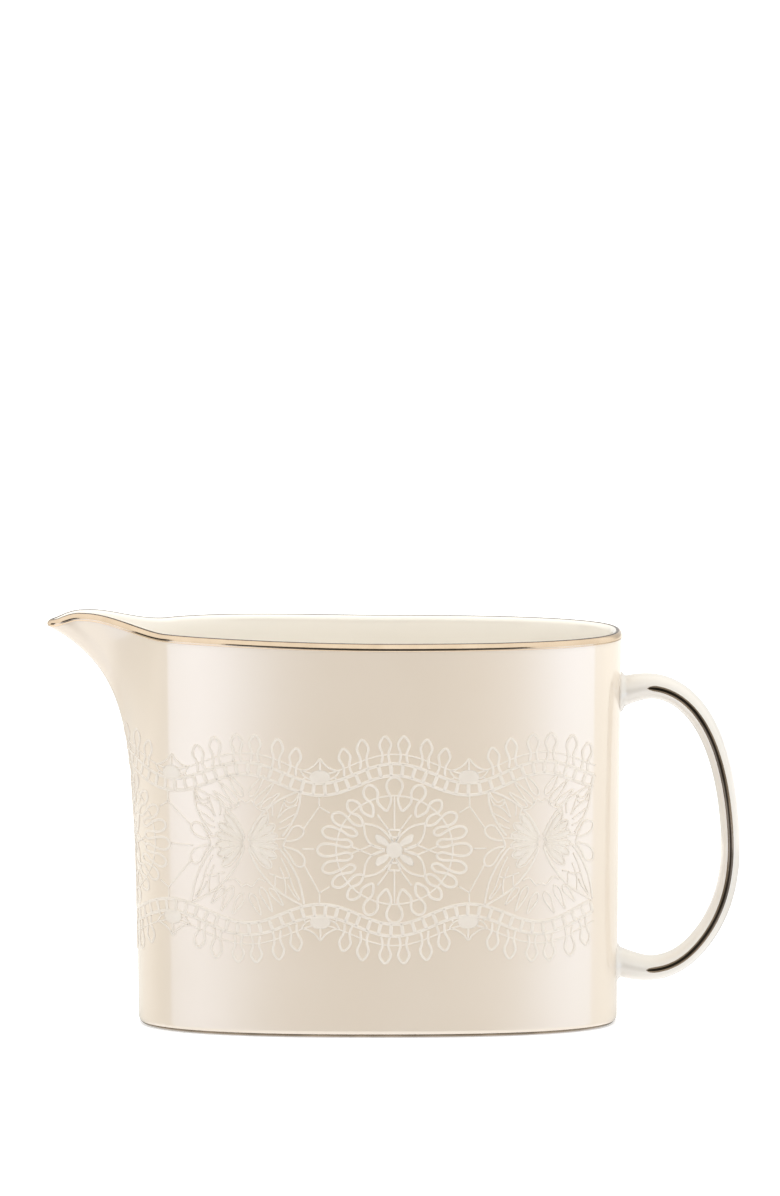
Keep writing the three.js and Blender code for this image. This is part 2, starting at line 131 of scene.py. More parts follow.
def spline(points, step, closed=False):
    """A line with smooth bends through the points, sampled about every step."""
    p = np.array(points, float)
    pad = 4 if closed else 0
    if closed:
        p = np.concatenate([p[-pad:], p, p[:pad + 1]])
    knots = np.concatenate([[0], np.cumsum(np.linalg.norm(np.diff(p, axis=0), axis=1))])
    gaps = np.diff(knots)
    count = len(p)
    matrix = np.eye(count)
    target = np.zeros_like(p)
    for i in range(1, count - 1):
        matrix[i, i - 1:i + 2] = gaps[i - 1], 2 * (gaps[i - 1] + gaps[i]), gaps[i]
        target[i] = 6 * ((p[i + 1] - p[i]) / gaps[i] - (p[i] - p[i - 1]) / gaps[i - 1])
    bend = np.linalg.solve(matrix, target)
    first, last = knots[pad], knots[count - 1 - pad]
    samples = max(2, int(round((last - first) / step)) + 1)
    t = np.linspace(first, last, samples)
    i = np.clip(np.searchsorted(knots, t, side="right") - 1, 0, count - 2)
    h = gaps[i][:, None]
    a = ((knots[i + 1] - t) / gaps[i])[:, None]
    b = 1 - a
    line = a * p[i] + b * p[i + 1] + ((a ** 3 - a) * bend[i] + (b ** 3 - b) * bend[i + 1]) * h * h / 6
    return line[:-1] if closed else line


def lengths(line):
    return np.concatenate([[0], np.cumsum(np.linalg.norm(np.diff(line, axis=0), axis=1))])


# ---- the body's surface

def oval(angle, level):
    """The body's plan at a share of the rim's height."""
    c, s = np.cos(angle), np.sin(angle)
    power = 2 / OVAL_POWER
    length = FOOT_HALF[0] + (RIM_HALF[0] - FOOT_HALF[0]) * level
    depth = FOOT_HALF[1] + (RIM_HALF[1] - FOOT_HALF[1]) * level
    return np.sign(c) * length * np.abs(c) ** power, np.sign(s) * depth * np.abs(s) ** power


OVAL_SAMPLES = 14400
TURN = np.linspace(0, 2 * math.pi, OVAL_SAMPLES + 1)
ARC = lengths(np.stack(oval(TURN, 0.5), 1))
QUARTER = ARC[len(TURN) // 4]


def angle_at(station):
    """The angle at a distance round the oval from the pouring lip, positive towards -Y."""
    return np.interp(2 * QUARTER + np.asarray(station, float), ARC, TURN)


def oval_at(x):
    """The near point of the rim's oval at a length along the body."""
    return (x, RIM_HALF[1] * (1 - (abs(x) / RIM_HALF[0]) ** OVAL_POWER) ** (1 / OVAL_POWER))


spout_start = math.acos(-((-SPOUT_START_X / RIM_HALF[0]) ** (OVAL_POWER / 2)))
SPOUT_ARC = 2 * QUARTER - np.interp(spout_start, TURN, ARC)
lead_in = [oval_at(SPOUT_START_X + steps * SPOUT_LEAD_IN) for steps in (2, 1, 0)]
half_plan = [*lead_in, *SPOUT_RIM_PLAN]
other_half = [(x, -y) for x, y in reversed(half_plan)]
spout_rim = spline([*half_plan, (SPOUT_TIP_X, 0), *other_half], 0.05)
spout_run = lengths(spout_rim)
spout_run -= spout_run[-1] / 2
first_half = slice(0, len(spout_rim) // 2)
SPOUT_LENGTH = -np.interp(-SPOUT_START_X, -spout_rim[first_half, 0], spout_run[first_half])


def rim_outline(angle):
    """The rim's plan: the oval, drawn out into the spout round the pouring lip."""
    angle = np.mod(angle, 2 * math.pi)
    x, y = oval(angle, 1.0)
    station = np.interp(angle, TURN, ARC) - 2 * QUARTER
    into = np.clip(1 - np.abs(station) / SPOUT_ARC, 0, 1)
    left = SPOUT_LENGTH - (into + (SPOUT_LENGTH / SPOUT_ARC - 1) * into ** 2) * SPOUT_ARC
    run = np.sign(station) * left
    in_spout = into > 0
    return (np.where(in_spout, np.interp(run, spout_run, spout_rim[:, 0]), x),
            np.where(in_spout, np.interp(run, spout_run, spout_rim[:, 1]), y))


def rim_height(x):
    def step(amount, low, high):
        return amount * smoothstep(-x, low, high)
    return RIM_HEIGHT + step(*RIM_SLOPE) + step(*SPOUT_RISE) - step(*SPOUT_TIP_DROP)


def outer_wall(angle, level):
    """Points on the outside of the body, which leans out to the drawn-out rim."""
    rim_x, rim_y = rim_outline(angle)
    top_x, top_y = oval(angle, 1.0)
    x, y = oval(angle, level)
    high = np.minimum(level / SPOUT_UPRIGHT_FROM, 1)
    soft = SPOUT_SOFT_LEAN * high ** SPOUT_SOFT_LEAN_POWER
    lean = soft + (1 - SPOUT_SOFT_LEAN) * high ** SPOUT_SHARP_LEAN_POWER
    return np.stack([x + lean * (rim_x - top_x), y + lean * (rim_y - top_y), level * rim_height(rim_x)], -1)


def outward(angle, level):
    """The level direction away from the wall, measured over a small step of angle."""
    step = 0.004
    ahead = outer_wall(angle + step, level)
    behind = outer_wall(angle - step, level)
    n = np.stack([ahead[..., 1] - behind[..., 1], behind[..., 0] - ahead[..., 0]], -1)
    n /= np.linalg.norm(n, axis=-1, keepdims=True)
    return np.concatenate([n, np.zeros_like(n[..., :1])], -1)


def casting(angle, level, inset=0.0, drop=0.0, spread=1.0):
    """Points inside the wall by inset and below their level by drop; spread draws them to the middle."""
    angle = np.asarray(angle, float)
    level = np.broadcast_to(np.asarray(level, float), angle.shape)
    outside = outer_wall(angle, level)
    point = outside - outward(angle, level) * np.broadcast_to(inset, angle.shape)[..., None]
    point[..., :2] *= spread
    point[..., 2] = outside[..., 2] - drop
    return point


def on_wall(station, height, lift):
    """Lace coordinates, distance round the body and height above the table, to a point on the wall."""
    angle = angle_at(station)
    level = np.asarray(height, float) / rim_height(rim_outline(angle)[0])
    return casting(angle, level, -np.asarray(lift, float))


# ---- meshes

def make_piece(name, points, faces, materials, nodes, face_material=None):
    """A smooth piece, from points in mm, that stands for CAD nodes and rides with them."""
    mesh = bpy.data.meshes.new(name)
    placed = (np.asarray(points, float) + (CENTRE_X, 0, 0)) * MM
    mesh.from_pydata(placed.tolist(), [], [list(map(int, f)) for f in faces])
    mesh.validate()
    mesh.polygons.foreach_set("use_smooth", [True] * len(mesh.polygons))
    for material in materials:
        mesh.materials.append(material)
    if face_material is not None:
        mesh.polygons.foreach_set("material_index", list(face_material))
    mesh.update()
    piece = bpy.data.objects.new(name, mesh)
    bpy.context.scene.collection.objects.link(piece)
    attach(piece, "root")
    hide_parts(*nodes)


def grid_faces(rows, columns, close_rows=False):
    """Faces between rows of points that each go all the way round."""
    faces = []
    for r in range(rows if close_rows else rows - 1):
        for c in range(columns):
            r2, c2 = (r + 1) % rows, (c + 1) % columns
            faces.append((r * columns + c, r * columns + c2, r2 * columns + c2, r2 * columns + c))
    return faces


# ---- materials

def srgb(r, g, b):
    def linear(v):
        v /= 255
        return v / 12.92 if v <= 0.04045 else ((v + 0.055) / 1.055) ** 2.4
    return (linear(r), linear(g), linear(b), 1.0)


class Surface:
    """A node material, built up round one Principled shader."""

    def __init__(self, name, **values):
        self.material = bpy.data.materials.new(name)
        self.material.use_nodes = True
        self.nodes = self.material.node_tree.nodes
        self.links = self.material.node_tree.links
        self.shader = self.nodes["Principled BSDF"]
        for key, value in values.items():
            self.shader.inputs[key.replace("_", " ")].default_value = value
        self.place = self.nodes.new("ShaderNodeTexCoord").outputs["Object"]

    def noise(self, scale, detail=2.0, roughness=0.5):
        node = self.nodes.new("ShaderNodeTexNoise")
        node.inputs["Scale"].default_value = scale
        node.inputs["Detail"].default_value = detail
        node.inputs["Roughness"].default_value = roughness
        self.links.new(self.place, node.inputs["Vector"])
        return node.outputs["Fac"]

    def ramp(self, value, stops):
        node = self.nodes.new("ShaderNodeValToRGB")
        node.color_ramp.elements[0].position, node.color_ramp.elements[0].color = stops[0]
        node.color_ramp.elements[1].position, node.color_ramp.elements[1].color = stops[-1]
        for position, color in stops[1:-1]:
            node.color_ramp.elements.new(position).color = color
        self.links.new(value, node.inputs["Fac"])
        return node.outputs["Color"]

    def between(self, value, low, high):
        """A value from 0 to 1 spread over another range."""
        node = self.nodes.new("ShaderNodeMapRange")
        node.inputs["To Min"].default_value = low
        node.inputs["To Max"].default_value = high
        self.links.new(value, node.inputs["Value"])
        return node.outputs["Result"]

    def set(self, name, output):
        self.links.new(output, self.shader.inputs[name])

    def bump(self, layers):
        """Layers of (height output, depth in metres)."""
        normal = None
        for height, depth in layers:
            node = self.nodes.new("ShaderNodeBump")
            node.inputs["Strength"].default_value = 1.0
            node.inputs["Distance"].default_value = depth
            self.links.new(height, node.inputs["Height"])
            if normal is not None:
                self.links.new(normal, node.inputs["Normal"])
            normal = node.outputs["Normal"]
        self.set("Normal", normal)


def lustre_glaze():
    """Pearl-ivory lustre, faintly clouded and very slightly uneven."""
    s = Surface("lustre_glaze", Specular_IOR_Level=1.0, Coat_Weight=1.0, Coat_Roughness=0.03, Coat_IOR=1.7)
    clouds = [(0.3, srgb(239, 223, 202)), (0.5, srgb(241, 225, 205)), (0.7, srgb(242, 227, 208))]
    s.set("Base Color", s.ramp(s.noise(22.0, 3.0, 0.55), clouds))
    s.set("Roughness", s.between(s.noise(60.0), 0.26, 0.36))
    s.bump([(s.noise(45.0, 1.0), 0.00010), (s.noise(900.0, 1.0), 0.000004)])
    return s.material


def cream_glaze():
    s = Surface("cream_glaze", Coat_Weight=1.0, Coat_Roughness=0.03, Coat_IOR=1.5)
    s.set("Base Color", s.ramp(s.noise(18.0), [(0.3, srgb(251, 245, 235)), (0.7, srgb(253, 248, 239))]))
    s.set("Roughness", s.between(s.noise(70.0), 0.3, 0.4))
    s.bump([(s.noise(45.0, 1.0), 0.00008)])
    return s.material


def handle_glaze():
    s = Surface("handle_glaze", Coat_Weight=1.0, Coat_Roughness=0.03, Coat_IOR=1.5)
    s.set("Base Color", s.ramp(s.noise(40.0), [(0.3, srgb(232, 225, 215)), (0.7, srgb(236, 230, 221))]))
    s.set("Roughness", s.between(s.noise(60.0), 0.26, 0.36))
    s.bump([(s.noise(80.0, 1.0), 0.00005)])
    return s.material


def metal(name, dark, light, low, high):
    """A fired metal film, between two tints and two roughnesses."""
    s = Surface(name, Metallic=1.0)
    s.set("Base Color", s.ramp(s.noise(140.0, 3.0), [(0.35, dark), (0.65, light)]))
    s.set("Roughness", s.between(s.noise(420.0, 3.0), low, high))
    s.bump([(s.noise(1500.0, 2.0), 0.000008)])
    return s.material


def raised_enamel():
    s = Surface("raised_enamel", Coat_Weight=0.5, Coat_Roughness=0.12)
    tints = [(0.3, srgb(238, 227, 213)), (0.7, srgb(243, 233, 220))]
    s.set("Base Color", s.ramp(s.noise(260.0, 3.0), tints))
    s.set("Roughness", s.between(s.noise(700.0, 2.0), 0.45, 0.6))
    s.bump([(s.noise(2200.0, 3.0), 0.00002)])
    return s.material


LUSTRE = lustre_glaze()
CREAM = cream_glaze()
HANDLE_GLAZE = handle_glaze()
CHAMPAGNE = metal("champagne_metal", srgb(203, 182, 157), srgb(212, 192, 168), 0.06, 0.12)
# A darker, rougher metal for the band's inner edge: a painted reflection, a dark tint standing in for the
# dark that the lip reflects there.
PAINTED_DARK_EDGE = metal("metal_edge_painted_dark", srgb(84, 69, 56), srgb(112, 93, 76), 0.16, 0.26)
# Platinum given a dark brown tint, far darker than the bare metal: a painted reflection of the dark in
# front of the jug, on the handle stripes and the foot band.
PLATINUM = metal("platinum", srgb(100, 88, 74), srgb(124, 110, 94), 0.04, 0.08)
ENAMEL = raised_enamel()


# ---- body and bands

LEAN_FROM = 60                    # height from which the body's rows lie closer, for the spout's lean
OUTER_WALL_FROM = 3.2
INNER_WALL_TO = 92.0
LIP_ROWS = 15
# Columns by distance round the body from the pouring lip, closest at its tip.
TIP_REACH = 4
TIP_COLUMNS = 40
NEAR_REACH = 30
NEAR_COLUMNS = 50
REST_COLUMNS = 190


def lip_row(degrees, off):
    """A row on the rounded lip, turned from its outer side, a distance off the china."""
    turn = math.radians(degrees)
    radius = LIP_WIDTH / 2 + off
    return dict(level=1.0, inset=LIP_WIDTH / 2 - radius * math.cos(turn),
                drop=LIP_WIDTH / 2 - radius * math.sin(turn))


def lip_rows(off, steps, first=0, last=180):
    return [lip_row(degrees, off) for degrees in np.linspace(first, last, steps)]


def corner_row(degrees, off):
    """A row on the rounded foot corner, turned down from its outer side, a distance off the china."""
    turn = math.radians(degrees)
    radius = FOOT_CORNER + off
    return dict(level=0.0, inset=FOOT_CORNER - radius * math.cos(turn),
                drop=radius * math.sin(turn) - FOOT_CORNER)


def underside_rows():
    """The recess from its middle out, its rolled edge, and the flat foot ring."""
    foot_inner = FOOT_CORNER + FOOT_WIDTH
    flat = dict(level=0.0, inset=foot_inner + RECESS_MARGIN, drop=-FOOT_RECESS)
    rows = [dict(flat, spread=share) for share in np.linspace(0.06, 1, 9)]
    rows += [dict(level=0.0, inset=foot_inner + RECESS_ROLL - RECESS_ROLL * math.sin(turn),
                  drop=-FOOT_RECESS * (1 + math.cos(turn)) / 2)
             for turn in np.linspace(-math.pi / 2 + 0.5, math.pi / 2, 6)]
    ring = np.linspace(foot_inner - FOOT_BEVEL, FOOT_CORNER, 3)
    return rows + [dict(level=0.0, inset=inset) for inset in ring]


def wall_rows(first, then, inset=0.0):
    return [dict(level=height / RIM_HEIGHT, inset=inset) for height in np.concatenate([first, then])]


def floor_rows():
    """The inside of the floor, from the round corner at the wall's foot to the middle."""
    rows = [dict(level=0.0, inset=WALL + FLOOR_FILLET * (1 - math.cos(turn)),
                 drop=-FLOOR_TOP - FLOOR_FILLET * (1 - math.sin(turn)))
            for turn in np.linspace(0.1, math.pi / 2, 10)]
    flat = dict(level=0.0, inset=WALL + FLOOR_FILLET, drop=-FLOOR_TOP)
    return rows + [dict(flat, spread=share) for share in np.linspace(0.94, 0.05, 12)]


def columns():
    tip = np.linspace(-TIP_REACH, TIP_REACH, TIP_COLUMNS, endpoint=False)
    near = np.linspace(TIP_REACH, NEAR_REACH, NEAR_COLUMNS, endpoint=False)
    rest = np.linspace(NEAR_REACH, 4 * QUARTER - NEAR_REACH, REST_COLUMNS)
    return np.concatenate([tip, near, rest, 4 * QUARTER - near[:0:-1]])


def ring_points(rows, stations):
    wrapped = np.where(stations > 2 * QUARTER, stations - 4 * QUARTER, stations)
    angle = angle_at(wrapped)
    return np.concatenate([casting(angle, **row) for row in rows])


def build_body():
    """One skin: lustre outside up to the lip's crest, and cream glaze from there inwards."""
    corner = [corner_row(degrees, 0) for degrees in np.linspace(90, 0, 11)[1:]]
    outer_low = np.linspace(OUTER_WALL_FROM, LEAN_FROM, 36)
    outer_high = np.linspace(LEAN_FROM + 1.2, RIM_BAND_FOOT, 30)
    inner_high = np.linspace(INNER_WALL_TO, LEAN_FROM, 28)
    inner_low = np.linspace(LEAN_FROM - 2, FLOOR_TOP + FLOOR_FILLET, 24)
    outer = underside_rows() + corner + wall_rows(outer_low, outer_high)
    rows = outer + lip_rows(0, LIP_ROWS) + wall_rows(inner_high, inner_low, WALL) + floor_rows()
    stations = columns()
    points = ring_points(rows, stations)
    count = len(stations)
    faces = grid_faces(len(rows), count)
    crest = len(outer) + LIP_ROWS // 2
    face_material = [int(f // count >= crest) for f in range(len(faces))]
    bottom = len(points)
    top = bottom + 1
    points = np.concatenate([points, [[0, 0, FOOT_RECESS], [0, 0, FLOOR_TOP]]])
    last = (len(rows) - 1) * count
    faces += [((c + 1) % count, c, bottom) for c in range(count)]
    faces += [(last + c, last + (c + 1) % count, top) for c in range(count)]
    face_material += [0] * count + [1] * count
    make_piece("china_body", points, faces, [LUSTRE, CREAM], ["body"], face_material)


def build_band(name, near, far, materials, node, last_rows=0):
    """A film between two faces; the last rows of its far face take the second material."""
    rows = far + near[::-1]
    stations = columns()
    count = len(stations)
    points = ring_points(rows, stations)
    faces = grid_faces(len(rows), count, close_rows=True)
    second = range(len(far) - 1 - last_rows, len(far)) if last_rows else ()
    face_material = [int(f // count in second) for f in range(len(faces))]
    make_piece(name, points, faces, materials, [node], face_material)


def build_rim_band():
    def edge(off, height):
        return dict(level=height / RIM_HEIGHT, inset=-off)
    # The rows over the lip's inner side take the dark metal that paints in the reflection there.
    painted_dark_rows = [*lip_rows(BAND_PROUD, 6, PAINTED_DARK_FROM, PAINTED_DARK_TO), lip_row(RIM_BAND_TURN, BAND_INNER_PROUD)]
    far = [edge(BAND_PROUD, RIM_BAND_FOOT), edge(BAND_PROUD + BAND_STEP, RIM_BAND_FOOT + BAND_STEP)]
    far += lip_rows(BAND_PROUD, 11, 0, PAINTED_DARK_FROM)[:-1] + painted_dark_rows
    near = [edge(-BAND_SUNK, RIM_BAND_FOOT), *lip_rows(-BAND_SUNK, 13, 0, RIM_BAND_TURN)]
    materials = [CHAMPAGNE, PAINTED_DARK_EDGE]
    build_band("rim_band_metal", near, far, materials, "rim_band", len(painted_dark_rows) - 1)


def build_foot_band():
    turns = np.linspace(*FOOT_BAND_TURN, 6)
    far = [corner_row(turn, FOOT_BAND_PROUD) for turn in turns]
    near = [corner_row(turn, -BAND_SUNK) for turn in turns]
    build_band("foot_band_metal", near, far, [PLATINUM], "foot_band")


# ---- handle

handle_line = spline(HANDLE_LINE, 0.5)
wall_x = FOOT_HALF[0] + (RIM_HALF[0] - FOOT_HALF[0]) * handle_line[:, 1] / RIM_HEIGHT
handle_line = handle_line[handle_line[:, 0] > wall_x - HANDLE_ROOT]
handle_run = lengths(handle_line)


def handle_thickness(share):
    """Thickness in the loop's plane, a share of the way along the handle."""
    return HANDLE_THICK_MIDDLE + (HANDLE_THICK_ENDS - HANDLE_THICK_MIDDLE) * np.abs(2 * share - 1) ** 2


def handle_frame():
    """Direction out of the loop, share of the way along, and distance from the nearer end's wall."""
    along = np.gradient(handle_line, axis=0)
    along /= np.linalg.norm(along, axis=1, keepdims=True)
    share = handle_run / handle_run[-1]
    from_wall = np.minimum(handle_run, handle_run[-1] - handle_run) - HANDLE_ROOT
    square_on = np.where(share < 0.5, 1.0, -1.0)[:, None] * np.array([1.0, 0.0])
    mix = smoothstep(from_wall, 0.0, HANDLE_TURN)[:, None]
    along = square_on * (1 - mix) + along * mix
    along /= np.linalg.norm(along, axis=1, keepdims=True)
    out = np.stack([-along[:, 1], along[:, 0]], 1)
    return out, share, from_wall


def joint_flare(from_wall):
    """How much the handle swells towards the wall: a long taper and a small fillet."""
    left = JOINT_FILLET - np.clip(from_wall, 0, JOINT_FILLET)
    fillet = JOINT_FILLET - np.sqrt(JOINT_FILLET ** 2 - left ** 2)
    return fillet + JOINT_TAPER * (1 - np.clip(from_wall / JOINT_TAPER_LENGTH, 0, 1)) ** 2


def build_handle():
    out, share, from_wall = handle_frame()
    flare = joint_flare(from_wall)
    half_thick = handle_thickness(share) / 2 + flare
    half_wide = HANDLE_WIDTH / 2 + flare * JOINT_WIDENING
    turns = np.linspace(0, 2 * math.pi, HANDLE_SIDES, endpoint=False)
    c, s = np.cos(turns), np.sin(turns)
    centre = np.stack([handle_line[:, 0], np.zeros(len(handle_line)), handle_line[:, 1]], 1)
    out3 = np.stack([out[:, 0], np.zeros(len(out)), out[:, 1]], 1)
    rings = (centre[:, None] + out3[:, None] * (half_thick[:, None] * c)[..., None]
             + np.array([0, 1.0, 0]) * (half_wide[:, None] * s)[..., None])
    points = rings.reshape(-1, 3)
    faces = [f[::-1] for f in grid_faces(len(rings), HANDLE_SIDES)]
    faces += [tuple(range(HANDLE_SIDES)), tuple(reversed(range(len(points) - HANDLE_SIDES, len(points))))]
    make_piece("china_handle", points, faces, [HANDLE_GLAZE],
               ["handle", "handle_joint_upper", "handle_joint_lower"])


def build_stripe(side, name, node):
    """A thin metal line along the handle's crest on one side, with round ends."""
    out, share, _ = handle_frame()
    used = handle_line[:, 0] > STRIPE_START_X
    line, out, share = handle_line[used], out[used], share[used]
    run = lengths(line)
    from_end = np.minimum(run, run[-1] - run)
    rounding = 1 - (1 - np.clip(from_end / STRIPE_END, 0, 1)) ** 2
    half = STRIPE_WIDTH / 2 * np.sqrt(np.clip(rounding, STRIPE_END_LEAST ** 2, 1))
    across = np.linspace(-1, 1, 9)
    offset = half[:, None] * across
    bulge = HANDLE_WIDTH / 2 * np.sqrt(1 - (offset / (handle_thickness(share)[:, None] / 2)) ** 2)
    proud = STRIPE_PROUD * (1 - across ** 4)
    layers = []
    for lift in (proud, np.full_like(across, -STRIPE_SUNK)):
        x = line[:, 0, None] + out[:, 0, None] * offset
        z = line[:, 1, None] + out[:, 1, None] * offset
        layers.append(np.stack([x, side * (bulge + lift), z], -1))
    rings = np.concatenate([layers[0], layers[1][:, ::-1]], 1)
    sides = rings.shape[1]
    faces = grid_faces(len(rings), sides)
    faces += [tuple(reversed(range(sides))), tuple(range((len(rings) - 1) * sides, len(rings) * sides))]
    if side > 0:
        faces = [f[::-1] for f in faces]
    make_piece(name, rings.reshape(-1, 3), faces, [PLATINUM], [node])


# ---- lace frieze

SIDE_MEDALLION = QUARTER + LACE_FRONT_SHIFT
BUTTERFLY_LEFT = SIDE_MEDALLION - LACE_PERIOD
BUTTERFLY_RIGHT = SIDE_MEDALLION + LACE_PERIOD
FRIEZE_END = QUARTER + LACE_END
# Threads by width, and how high most of them stand.
HAIR = 0.42
FINE = 0.46
THIN = 0.5
SLIM = 0.56
STEM = 0.6
THREAD = 0.62
LOOP = 0.7
SERPENTINE = 0.74
RAIL = 0.86
RUNG = 1.0
THREAD_HEIGHT = 0.20
# A thread's section, from one foot over the crown to the other: across and up.
SECTION = np.array([(-1, -0.3), (-0.86, 0.45), (-0.45, 0.92), (0.45, 0.92), (0.86, 0.45), (1, -0.3)])


PAD_STEP = 0.55                   # spacing of a pad's inner points
PAD_ROW = 0.87 * PAD_STEP
PAD_BEVEL = 0.35                  # width of its rounded shoulder
PAD_MARGIN = 0.2                  # free of inner points along its outline
PAD_EDGE = 0.05                   # height at its outline
PAD_SUNK = 0.06


class Lace:
    """Raised enamel threads and pads, drawn flat as distance round the body and height above the table."""

    def __init__(self, station, height=LACE_MID_Z):
        self.origin = np.array([station, height])
        self.flat = []
        self.faces = []
        self.count = 0

    def _add(self, points, faces):
        self.flat.append(points)
        self.faces += [tuple(self.count + i for i in f) for f in faces]
        self.count += len(points)

    def thread(self, line, width=THREAD, height=THREAD_HEIGHT, closed=False):
        line = np.asarray(line, float)
        if closed:
            along = np.roll(line, -1, 0) - np.roll(line, 1, 0)
        else:
            along = np.gradient(line, axis=0)
        along /= np.linalg.norm(along, axis=1, keepdims=True) + 1e-9
        side = np.stack([along[:, 1], -along[:, 0]], 1)
        rings = np.zeros((len(line), len(SECTION), 3))
        rings[..., :2] = line[:, None] + side[:, None] * (SECTION[:, 0] * width / 2)[None, :, None]
        rings[..., 2] = SECTION[:, 1] * height
        faces = grid_faces(len(rings), len(SECTION), close_rows=closed)
        if not closed:
            n = len(SECTION)
            faces += [tuple(reversed(range(n))), tuple(range((len(rings) - 1) * n, len(rings) * n))]
        self._add(rings.reshape(-1, 3), faces)

    def curve(self, points, closed=False, **style):
        self.thread(spline(points, 0.4, closed), closed=closed, **style)

    def straight(self, a, b, **style):
        a, b = np.array(a, float), np.array(b, float)
        count = max(2, int(np.linalg.norm(b - a) / 0.8) + 1)
        self.thread(a + (b - a) * np.linspace(0, 1, count)[:, None], **style)

    def pad(self, outline, height=0.16):
        """A filled shape with rounded shoulders."""
        edge = np.asarray(outline, float)
        low, high = edge.min(0), edge.max(0)
        inner = []
        for i, y in enumerate(np.arange(low[1], high[1], PAD_ROW)):
            for x in np.arange(low[0] + (i % 2) * PAD_STEP / 2, high[0], PAD_STEP):
                depth = depth_inside(edge, (x, y))
                if depth > PAD_MARGIN:
                    inner.append((x, y, min(depth / PAD_BEVEL, 1)))
        count = len(edge)
        verts = [Vector(p) for p in edge] + [Vector(p[:2]) for p in inner]
        rim = [(i, (i + 1) % count) for i in range(count)]
        faces = delaunay_2d_cdt(verts, rim, [list(range(count))], 1, 1e-6)[2]
        full = [0.0] * count + [1 - (1 - p[2]) ** 2 for p in inner]
        top = [(v.x, v.y, PAD_EDGE + (height - PAD_EDGE) * f) for v, f in zip(verts, full)]
        under = [(v.x, v.y, -PAD_SUNK) for v in verts[:count]]
        faces = [tuple(f) for f in faces]
        base = len(top)
        faces += [(i, base + i, base + (i + 1) % count, (i + 1) % count) for i in range(count)]
        faces.append(tuple(base + i for i in reversed(range(count))))
        self._add(np.array(top + under), faces)

    def turn_over(self):
        """Turn the drawing upside down about its own middle."""
        for points in self.flat:
            points[:, 1] *= -1
        self.faces = [f[::-1] for f in self.faces]

    def lay(self, name, node, mirror=False):
        """Lay the drawing on the near wall, or mirrored on the far one."""
        flat = np.concatenate(self.flat)
        flat[:, :2] += self.origin
        points = on_wall(flat[:, 0], flat[:, 1], flat[:, 2])
        faces = self.faces
        if mirror:
            points[:, 1] *= -1
        else:
            faces = [f[::-1] for f in faces]
        make_piece(name, points, faces, [ENAMEL], [node])


def depth_inside(edge, point):
    """Distance to the outline, negative outside it."""
    a, b = edge, np.roll(edge, -1, 0)
    p = np.array(point)
    crossing = ((a[:, 1] > p[1]) != (b[:, 1] > p[1]))
    with np.errstate(divide="ignore", invalid="ignore"):
        at = (b[:, 0] - a[:, 0]) * (p[1] - a[:, 1]) / (b[:, 1] - a[:, 1]) + a[:, 0]
    inside = np.count_nonzero(crossing & (p[0] < at)) % 2 == 1
    along = b - a
    t = np.clip(((p - a) * along).sum(1) / (along ** 2).sum(1), 0, 1)
    distance = np.linalg.norm(a + along * t[:, None] - p, axis=1).min()
    return distance if inside else -distance


def polar(degrees, radius, aside=0.0):
    """A point at a clock angle and radius, moved sideways clockwise."""
    t = math.radians(degrees)
    return (radius * math.sin(t) + aside * math.cos(t), radius * math.cos(t) - aside * math.sin(t))


def four_ways(points):
    """The same line in all four quarters."""
    return [[(u * a, z * b) for u, z in points] for a in (1, -1) for b in (1, -1)]


def both_sides(points):
    """The same line on the right and on the left."""
    return [[(u * a, z) for u, z in points] for a in (1, -1)]


# The medallion's outer loops over one quarter: clock angle, radius at the tip and half width.
LOOP_QUARTER = [
    (0, 17.6, 1.85), (22.5, 16.9, 1.6), (43, 16.1, 1.35),
    (60, 17.0, 1.4), (74.5, 17.8, 1.4), (90, 18.4, 1.5),
]
LOOP_FOOT = 12.4                  # radius where a loop's two sides part
INNER_TURN = 9.7                  # radius where the thread turns back between loops
INNER_TURN_AT_SIDES = 10.2
RING_RADIUS = 13.5


def medallion_loops():
    """Clock angle, tip radius and half width of each outer loop, all the way round."""
    half = LOOP_QUARTER + [(180 - a, r, w) for a, r, w in LOOP_QUARTER[-2::-1]]
    return half + [(360 - a, r, w) for a, r, w in half[-2:0:-1]]


